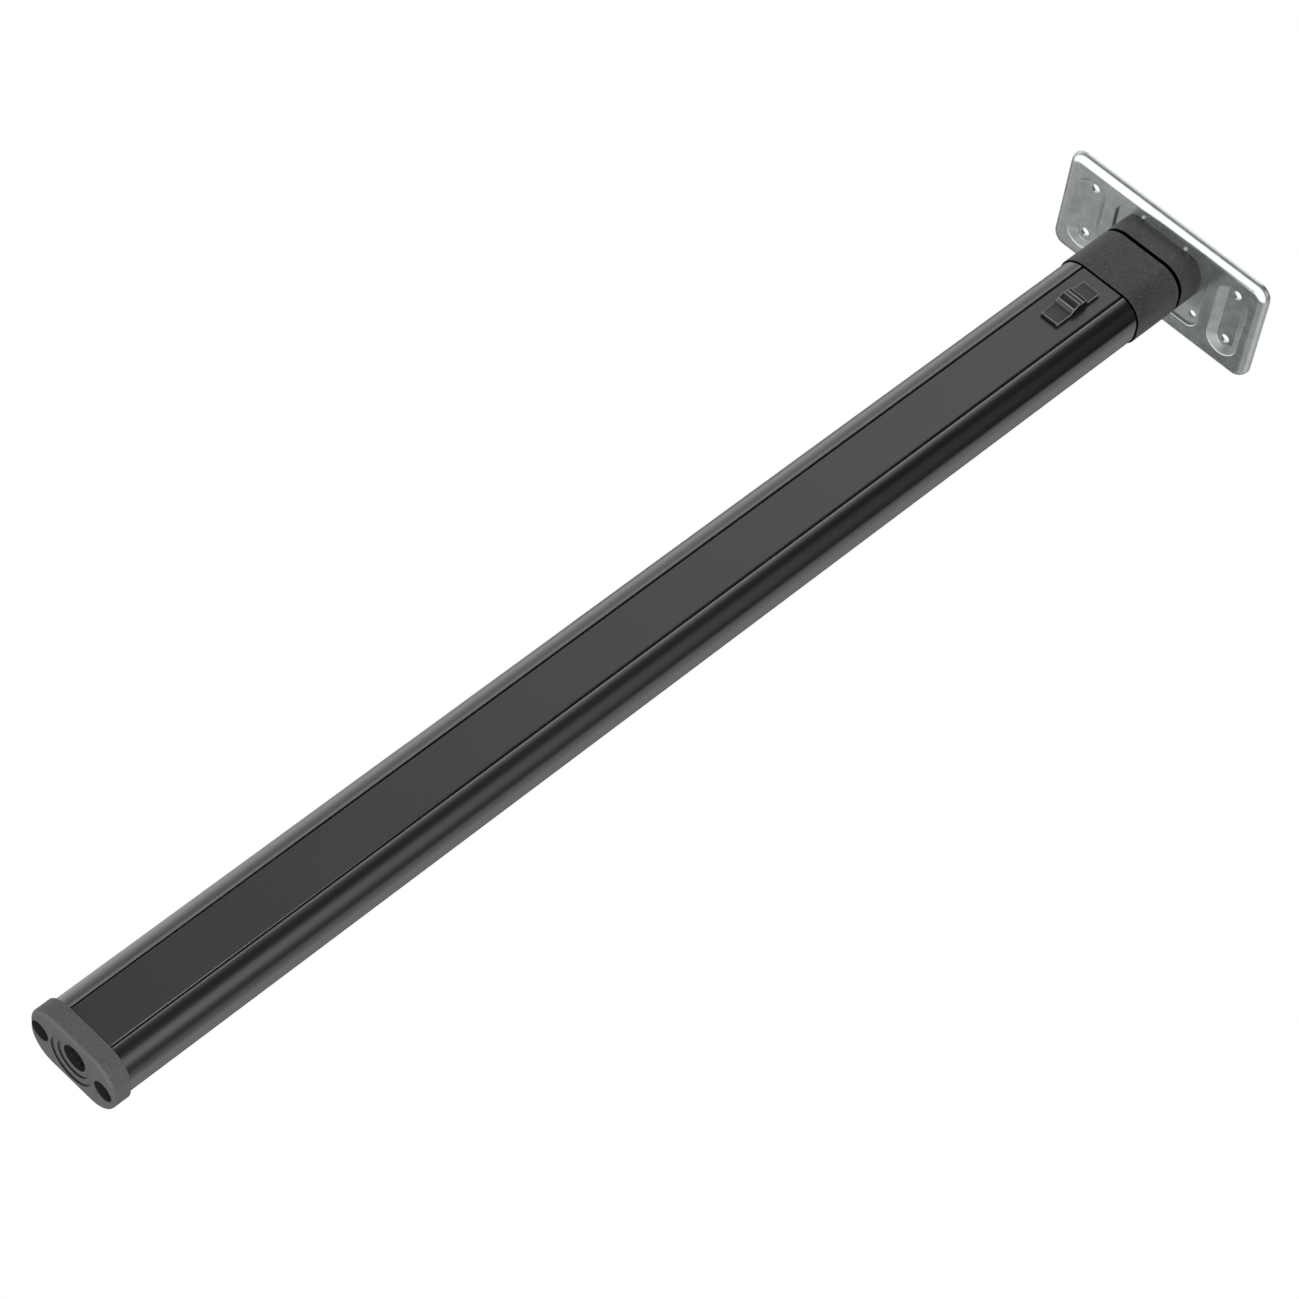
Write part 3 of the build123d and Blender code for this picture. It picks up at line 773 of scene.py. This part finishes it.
@dataclass
class MountingPlate(SubAssembly):
    """Pressed plate with the bracket that is riveted to it."""

    body: Body = Body.PLATE
    nodes: tuple[str, ...] = ("mounting_plate", "hinge_bracket", "bracket_rivets")


@dataclass(frozen=True)
class CrossDrive:
    """Cross recess in a screw head."""

    span: float = 4.0 * MM
    blade: float = 0.9 * MM
    depth: float = 1.3 * MM
    point: float = 0.45

    def cut(self, piece: bpy.types.Object, centre: Vector, way: int) -> None:
        """Sinks the recess into a head.

        Args:
            piece: screws, as one mesh.
            centre: middle of the head's outer face.
            way: 1 for a head that faces up, -1 for one that faces down.
        """
        for along_x, along_y in ((self.span, self.blade), (self.blade, self.span)):
            reach = Vector((along_x / 2, along_y / 2, self.depth))
            blade = add_box("driver_blade", centre - reach, centre + reach)
            with Bench(blade) as bench:
                bench.pick_points(lambda place: (place.z - centre.z) * way < 0)
                bpy.ops.transform.resize(value=(self.point, self.point, 1), center_override=centre)
            apply_modifier(piece, "BOOLEAN", operation="DIFFERENCE", solver="EXACT", object=blade)
            bpy.data.objects.remove(blade)


@dataclass
class ScrewedGroup(SubAssembly):
    """Group with two screws whose heads take a cross driver."""

    screws: str = ""
    heads_face: int = 1
    drive: CrossDrive = CrossDrive()

    def build(self) -> None:
        """Models the screws again, with a cross recess in each head."""
        source = self.frame["nodes"][self.screws]
        piece = bpy.data.objects.new(f"{self.screws}_cross", source.data.copy())
        bpy.context.scene.collection.objects.link(piece)
        with Bench(piece) as bench:
            bench.merge()
        low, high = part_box(self.screws)
        radius = (high.y - low.y) / 2
        level = high.z if self.heads_face > 0 else low.z
        for x in (low.x + radius, high.x - radius):
            self.drive.cut(piece, Vector((x, low.y + radius, level)), self.heads_face)
        self.stand_for(piece, self.screws)


@dataclass
class HingeHead(ScrewedGroup):
    """Moulded cover of the hinge, screwed to the plate."""

    body: Body = Body.PLATE
    nodes: tuple[str, ...] = ("hinge_head", "pivot_bushes", "keeper_bush", "head_screws")
    screws: str = "head_screws"


@dataclass
class Leg(ScrewedGroup):
    """Tube with its strip, its collar and the hinge pin."""

    body: Body = Body.LEG
    nodes: tuple[str, ...] = ("leg_tube", "cover_strip", "top_collar", "hinge_pin", "collar_screws")
    screws: str = "collar_screws"


@dataclass
class Foot(ScrewedGroup):
    """Moulded foot with the screws in its pockets."""

    body: Body = Body.LEG
    nodes: tuple[str, ...] = ("foot_cap", "foot_screws")
    screws: str = "foot_screws"
    heads_face: int = -1


@dataclass
class ThumbSlide(SubAssembly):
    """Thumb piece with two pads, a notched step and a grooved rib, and the parts behind it."""

    body: Body = Body.SLIDE
    nodes: tuple[str, ...] = (
        "release_slider", "slide_carrier", "carrier_pins", "latch_bolt", "friction_spring")
    width: float = 10.8 * MM
    float_gap: float = 0.3 * MM
    pad_height: float = 2.1 * MM
    step_height: float = 4.0 * MM
    notch_height: float = 4.2 * MM
    rib_height: float = 5.7 * MM
    brow_height: float = 5.0 * MM
    brow_dish: float = 0.5 * MM
    groove_depth: float = 0.3 * MM
    rib_from_top: float = 15.4 * MM
    rib_length: float = 5.1 * MM
    rib_fall: float = 1.2 * MM
    groove_width: float = 1.3 * MM
    step_gap: float = 3.6 * MM
    step_ramp: float = 1.6 * MM
    notch_length: float = 1.3 * MM
    pad_rim: float = 0.9 * MM
    pad_dish: float = 0.22 * MM
    edge: float = 0.4 * MM
    edge_angle: float = 28.0
    edge_facets: int = 3
    flat_facing: float = 0.99
    front_facing: float = 0.5
    stem_width: float = 7.0 * MM
    stem_length: float = 12.5 * MM
    stem_from_top: float = 18.45 * MM

    def build(self) -> None:
        """Models the thumb piece with dished pads, soft edges and the stem behind it."""
        low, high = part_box("release_slider")
        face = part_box("cover_strip")[0].y
        base = face - self.float_gap
        half = self.width / 2
        thumb = add_box("thumb_piece", (-half, face - self.pad_height, low.z), (half, base, high.z))
        rib_low = high.z - self.rib_from_top
        rib_high = rib_low + self.rib_length
        crest = rib_low - self.step_gap
        step_foot = crest - self.step_ramp
        rib_end = rib_high + self.rib_fall
        groove = rib_low + self.groove_width
        brow = groove + self.groove_width
        notch = crest + self.notch_length
        dish = (brow + rib_high) / 2
        rings = (
            (step_foot, self.pad_height),
            (crest, self.step_height),
            (notch, self.notch_height),
            (rib_low, self.rib_height),
            (groove, self.brow_height - self.groove_depth),
            (brow, self.brow_height),
            (dish, self.brow_height - self.brow_dish),
            (rib_high, self.brow_height),
            (rib_end, self.pad_height),
        )
        with Bench(thumb) as bench:
            for level, _ in rings:
                bench.cut_level(level)
            for level, height in rings:
                self.raise_ring(bench, level, base, height)
            for pad_low, pad_high in ((low.z, step_foot), (rib_end, high.z)):
                self.dish_pad(bench, pad_low, pad_high)
        self.round_and_mark_highlights(thumb, (notch, groove, dish, step_foot))
        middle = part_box("release_slider")[1].z - self.stem_from_top
        reach = self.stem_length / 2
        stem = add_box("thumb_stem", (-self.stem_width / 2, base - self.float_gap, middle - reach),
                       (self.stem_width / 2, high.y, middle + reach))
        choose_only(thumb)
        stem.select_set(True)
        bpy.ops.object.join()
        self.stand_for(thumb, "release_slider")

    def round_and_mark_highlights(self, thumb: bpy.types.Object, hollows: tuple[float, ...]) -> None:
        """Rounds the edges and marks their rounded faces for a painted highlight, except in the hollows.

        Args:
            thumb: thumb piece with sharp edges.
            hollows: heights of the hollows across the rib, whose edges get no painted highlight.
        """
        # Rounded faces take the second of two like materials, which tells them from the rest.
        for _ in range(2):
            thumb.data.materials.append(self.materials[Slot.SLIDER])
        apply_modifier(thumb, "BEVEL", width=self.edge, segments=self.edge_facets, limit_method="ANGLE",
                       angle_limit=math.radians(self.edge_angle), material=1)
        edge_highlight = thumb.data.attributes.new(HIGHLIGHT_ATTRIBUTE, "FLOAT", "FACE")
        for face in thumb.data.polygons:
            deep = face.normal.y < -self.front_facing and any(
                abs(face.center.z - level) < self.edge for level in hollows)
            edge_highlight.data[face.index].value = float(face.material_index and not deep)
            face.material_index = 0

    def raise_ring(self, bench: Bench, level: float, base: float, height: float) -> None:
        """Lifts the front of one cut to its height.

        Args:
            bench: work on the thumb piece.
            level: height of the cut.
            base: place of the piece's back along Y.
            height: how far the front stands out there.
        """
        bench.pick_points(lambda place: abs(place.z - level) < WELD and place.y < base - WELD)
        bench.shift((0, self.pad_height - height, 0))

    def dish_pad(self, bench: Bench, low: float, high: float) -> None:
        """Sinks the middle of one pad a little.

        Args:
            bench: work on the thumb piece.
            low: lower end of the pad.
            high: upper end of the pad.
        """
        bench.pick_faces(lambda middle, normal: low < middle.z < high and normal.y < -self.flat_facing)
        bpy.ops.mesh.inset(thickness=self.pad_rim, depth=0)
        bench.shift((0, self.pad_dish, 0))


@dataclass(frozen=True)
class Softbox:
    """One square lamp: where it stands, its light at the leg, its side, and if gloss mirrors it."""

    name: str
    way: Point
    level: float
    side: float
    distance: float = 2.2
    aim: Point = (0.0, 0.0, -0.3)
    mirrored: bool = False


@dataclass(frozen=True)
class LightRing:
    """Light of the surroundings by heading, from one height of the sky up to the next ring.

    Heights are the Z of a direction; the ring comes in between low and full. Levels are pairs of a
    heading in degrees and the light there.
    """

    low: float
    full: float
    levels: Levels


@dataclass
class Studio:
    """Camera, lamps, floor and surroundings.

    Gloss on the leg mirrors a gleam, the bright floor before it, and a line, a dark strip behind it.
    Their pairs give the Y or Z of a direction where they start and where they are full.
    """

    camera_place: Point = (0.7613, -1.5874, -1.3320)
    camera_aim: Point = (0.0066, -0.0072, -0.3659)
    camera_roll: float = 53.43
    camera_lens: float = 123.22
    camera_sensor: float = 36.0
    camera_reach: float = 50.0
    floor_reach: float = 4.0
    floor_sides: int = 96
    floor_drop: float = 0.2 * MM
    floor_colour: Colour = (0.82, 0.82, 0.81)
    floor_roughness: float = 0.8
    fill: float = 0.34
    lamps: tuple[Softbox, ...] = (
        Softbox("key_softbox", (-0.42, -0.70, 0.575), 0.6, 0.45),
        Softbox("right_softbox", (0.8, -0.35, 0.5), 0.3, 1.0),
        Softbox("foot_softbox", (0.55, -0.35, -0.76), 0.52, 0.4, 1.1),
        Softbox("low_softbox", (0.2, -0.3, -0.92), 0.3, 1.2),
        Softbox("rear_softbox", (-0.3, 0.85, 0.4), 0.4, 1.2),
        Softbox("plate_card", (-0.45, 0.68, -0.57), 0.036, 0.22, 0.42, (-0.046, 0.0, -0.005), True),
    )
    ground_ring: Levels = (
        (-180, 1.6), (-90, 1.0), (0, 0.6), (50, 0.6), (63, 0.45), (78, 0.75), (92, 0.55), (108, 0.14),
        (118, 0.15), (135, 0.6), (180, 1.6),
    )
    rings: tuple[LightRing, ...] = (
        LightRing(-0.3, -0.08, (
            (-180, 1.0), (-140, 0.35), (-110, 0.22), (-80, 0.25), (0, 0.5), (45, 1.1), (70, 0.8),
            (95, 0.25), (115, 0.1), (144, 0.3), (180, 1.0))),
        LightRing(0.08, 0.28, (
            (-180, 1.6), (-140, 0.7), (-118, 0.12), (-100, 0.1), (-85, 0.06), (-68, 0.08), (-52, 0.35),
            (-38, 1.75), (-22, 1.75), (-6, 0.5), (6, 0.25), (16, 0.25), (30, 0.45), (65, 0.8),
            (95, 0.25), (115, 0.12), (140, 1.0), (160, 1.5), (180, 1.6))),
        LightRing(0.3, 0.49, (
            (-180, 1.6), (-150, 1.15), (-132, 1.25), (-118, 1.95), (-105, 2.35), (-95, 1.5),
            (-80, 0.25), (-60, 0.16), (-42, 0.45), (-18, 0.45), (13, 0.17), (24, 0.7), (34, 0.8),
            (65, 0.7), (95, 0.25), (115, 0.12), (144, 0.4), (180, 1.6))),
        LightRing(0.48, 0.6, (
            (-180, 1.5), (-150, 1.0), (-132, 1.2), (-118, 1.95), (-105, 2.3), (-95, 1.4), (-80, 0.1),
            (-60, 0.0), (13, 0.0), (24, 0.7), (34, 0.8), (65, 0.7), (95, 0.25), (115, 0.12),
            (144, 0.4), (180, 1.5))),
        LightRing(0.68, 0.8, (
            (-180, 1.6), (-120, 1.4), (-95, 0.8), (-78, 0.05), (5, 0.05), (25, 0.8), (60, 1.2),
            (128, 2.4), (180, 1.6))),
    )
    floor_gleam: float = 2.9
    floor_gleam_y: Span = (0.5, 0.42)
    floor_gleam_z: Span = (-0.2, -0.36)
    line_level: float = 0.08
    line_near_y: Span = (0.42, 0.5)
    line_far_y: Span = (0.74, 0.62)
    line_z: Span = (-0.5, -0.6)

    def build(self, floor_level: float) -> None:
        """Sets up everything around the leg.

        Args:
            floor_level: height of the foot's end, in metres.
        """
        self.set_camera()
        self.set_world()
        self.set_lamps()
        self.set_floor(floor_level - self.floor_drop)
        bpy.context.scene.view_settings.view_transform = "Standard"

    def set_camera(self) -> None:
        """Places the camera where the photograph was taken from."""
        data = bpy.data.cameras.new("photo_camera")
        data.lens = self.camera_lens
        data.sensor_width = self.camera_sensor
        data.clip_end = self.camera_reach
        camera = bpy.data.objects.new("photo_camera", data)
        bpy.context.scene.collection.objects.link(camera)
        way = Vector(self.camera_aim) - Vector(self.camera_place)
        turn = way.to_track_quat("-Z", "Y").to_matrix().to_4x4()
        roll = Matrix.Rotation(math.radians(self.camera_roll), 4, "Z")
        camera.matrix_world = Matrix.Translation(self.camera_place) @ turn @ roll
        bpy.context.scene.camera = camera

    def set_world(self) -> None:
        """White surroundings for the camera, rings of light for gloss, a level fill for the rest."""
        world = bpy.data.worlds.new("white_studio")
        bpy.context.scene.world = world
        world.use_nodes = True
        sheet = NodeSheet(world.node_tree)
        ground = world.node_tree.nodes["Background"]
        rays = sheet.add("ShaderNodeLightPath").outputs
        way = sheet.add("ShaderNodeSeparateXYZ")
        sheet.join(sheet.add("ShaderNodeTexCoord").outputs["Generated"], way.inputs["Vector"])
        along_y, height = way.outputs["Y"], way.outputs["Z"]
        seen = self.ring_level(sheet, way, self.ground_ring)
        for ring in self.rings:
            level = self.ring_level(sheet, way, ring.levels)
            seen = sheet.blend(seen, level, sheet.ramp(height, ring.low, ring.full))
        line = sheet.ramp(along_y, *self.line_near_y)
        line = sheet.math("MULTIPLY", line, sheet.ramp(height, *self.line_z))
        line = sheet.math("MULTIPLY", line, sheet.ramp(along_y, *self.line_far_y))
        seen = sheet.blend(seen, self.line_level, line)
        gleam = sheet.ramp(along_y, *self.floor_gleam_y)
        gleam = sheet.math("MULTIPLY", gleam, sheet.ramp(height, *self.floor_gleam_z))
        mirrored = sheet.blend(seen, self.floor_gleam, gleam)
        direct = sheet.math("MAXIMUM", rays["Is Camera Ray"], rays["Is Transmission Ray"])
        indirect = sheet.blend(self.fill, mirrored, rays["Is Glossy Ray"])
        sheet.join(sheet.blend(indirect, 1.0, direct), ground.inputs["Strength"])
        ground.inputs["Color"].default_value = (1, 1, 1, 1)

    @staticmethod
    def ring_level(sheet: NodeSheet, way: bpy.types.Node, levels: Levels) -> Socket:
        """Light of the surroundings by heading.

        Args:
            sheet: node sheet of the world.
            way: node that gives a direction's X, Y and Z.
            levels: headings in degrees, each with its level.

        Returns:
            The output with the level.
        """
        turn = sheet.math("ARCTAN2", way.outputs["Y"], way.outputs["X"])
        turn = sheet.math("ADD", sheet.math("DIVIDE", turn, math.tau), HALF)
        ring = sheet.add("ShaderNodeValToRGB")
        ring.color_ramp.interpolation = "EASE"
        peak = max(level for _, level in levels)
        stops = ring.color_ramp.elements
        first_stops = len(stops)
        for i, (heading, level) in enumerate(levels):
            place = heading / FULL_TURN + HALF
            stop = stops[i] if i < first_stops else stops.new(place)
            stop.position = place
            stop.color = (level / peak, level / peak, level / peak, 1)
        sheet.join(turn, ring.inputs["Fac"])
        return sheet.math("MULTIPLY", ring.outputs["Color"], peak)

    def set_lamps(self) -> None:
        """Softboxes around the leg; only the card by the plate shows in gloss."""
        for lamp in self.lamps:
            data = bpy.data.lights.new(lamp.name, "AREA")
            data.shape = "SQUARE"
            data.size = lamp.side
            # A white card at the aim then shows the lamp's level.
            data.energy = lamp.level * (math.pi * lamp.distance) ** 2
            obj = bpy.data.objects.new(lamp.name, data)
            bpy.context.scene.collection.objects.link(obj)
            way = Vector(lamp.way).normalized()
            turn = (-way).to_track_quat("-Z", "Y").to_matrix().to_4x4()
            obj.matrix_world = Matrix.Translation(Vector(lamp.aim) + lamp.distance * way) @ turn
            obj.visible_camera = False
            obj.visible_glossy = lamp.mirrored

    def set_floor(self, level: float) -> None:
        """Pale floor under the foot that shows from above only.

        Args:
            level: height of the floor, in metres.
        """
        bpy.ops.object.select_all(action="DESELECT")
        bpy.ops.mesh.primitive_circle_add(vertices=self.floor_sides, radius=self.floor_reach,
                                          fill_type="NGON", location=(0, 0, level))
        floor = bpy.context.object
        floor.name = "studio_floor"
        floor.visible_diffuse = False
        floor.visible_glossy = False
        floor.visible_shadow = False
        material = bpy.data.materials.new("pale_floor")
        material.use_nodes = True
        sheet = NodeSheet(material.node_tree)
        shader = material.node_tree.nodes["Principled BSDF"]
        shader.inputs["Base Color"].default_value = (*self.floor_colour, 1)
        shader.inputs["Roughness"].default_value = self.floor_roughness
        clear = sheet.add("ShaderNodeBsdfTransparent")
        mix = sheet.add("ShaderNodeMixShader")
        sheet.join(sheet.add("ShaderNodeNewGeometry").outputs["Backfacing"], mix.inputs["Fac"])
        sheet.join(shader.outputs["BSDF"], mix.inputs[1])
        sheet.join(clear.outputs["BSDF"], mix.inputs[2])
        sheet.join(mix.outputs["Shader"], material.node_tree.nodes["Material Output"].inputs["Surface"])
        floor.data.materials.append(material)


def main() -> None:
    """Loads the frame and dresses, lights and frames the leg."""
    logging.basicConfig(level=logging.INFO, format="%(message)s")
    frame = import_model()
    effects = EffectLibrary()
    materials = {slot: finish.make(effects) for slot, finish in FINISHES.items()}
    for group in (MountingPlate, HingeHead, Leg, ThumbSlide, Foot):
        part = group(frame, materials)
        part.build()
        part.dress()
    Studio().build(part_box("foot_cap")[0].z)


if __name__ == "__main__":
    main()
